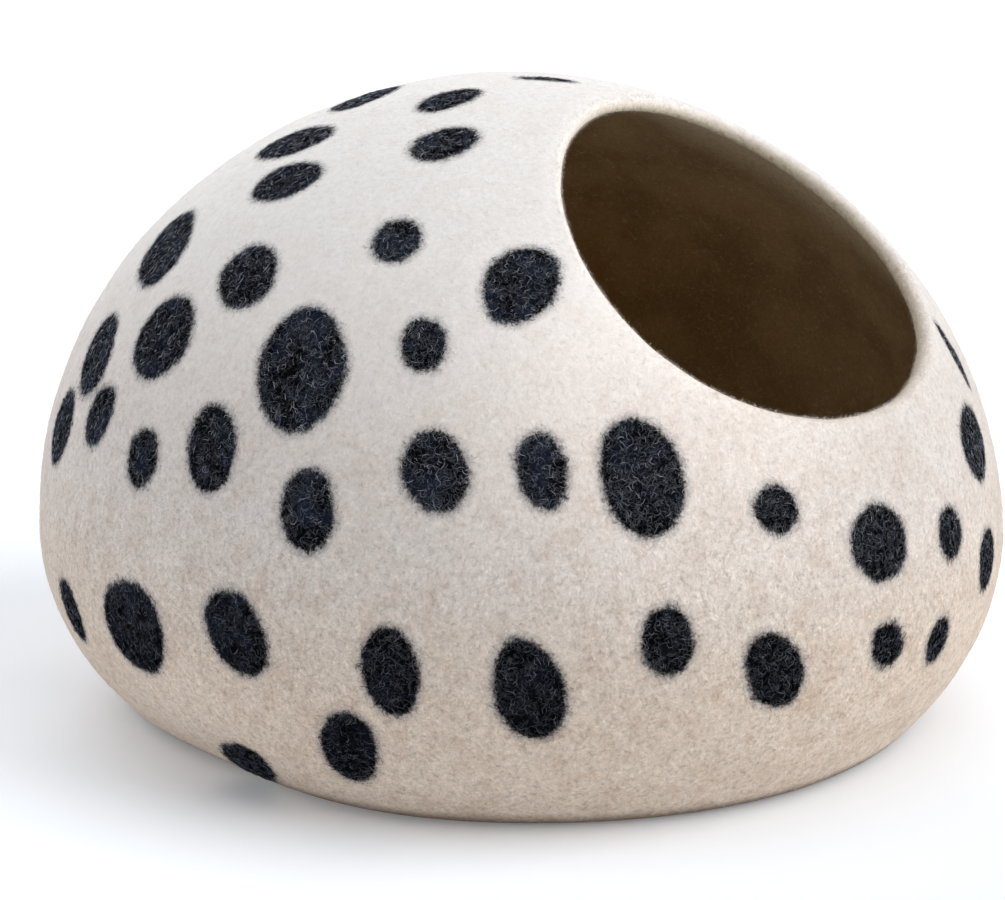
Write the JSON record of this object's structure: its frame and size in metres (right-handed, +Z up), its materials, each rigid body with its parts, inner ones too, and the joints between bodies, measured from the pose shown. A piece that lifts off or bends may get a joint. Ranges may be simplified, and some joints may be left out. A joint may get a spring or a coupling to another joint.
{
  "type": "felt cat cave",
  "caption": "Hollow one-piece wet-felted wool cave for a cat: a low round dome with a belly, a flat foot and one slanted oval mouth with a soft rolled rim.",
  "frame": {"origin": "on the floor, under the middle of the cave's bounding box", "axes": "+Z up, the way the cave stands; the mouth faces -Y and up; +X is on the right of a person who looks along +Y"},
  "size_m": [0.4786, 0.4804, 0.3099],
  "materials": {
    "felt_ivory": "matt, fuzzy wet-felted wool",
    "felt_charcoal": "matt, fuzzy wet-felted wool: the spots",
    "felt_brown": "matt, fuzzy wet-felted wool: the inner face"
  },
  "bodies": {
    "root": {"felt_shell": "felt_ivory"}
  },
  "joints": []
}
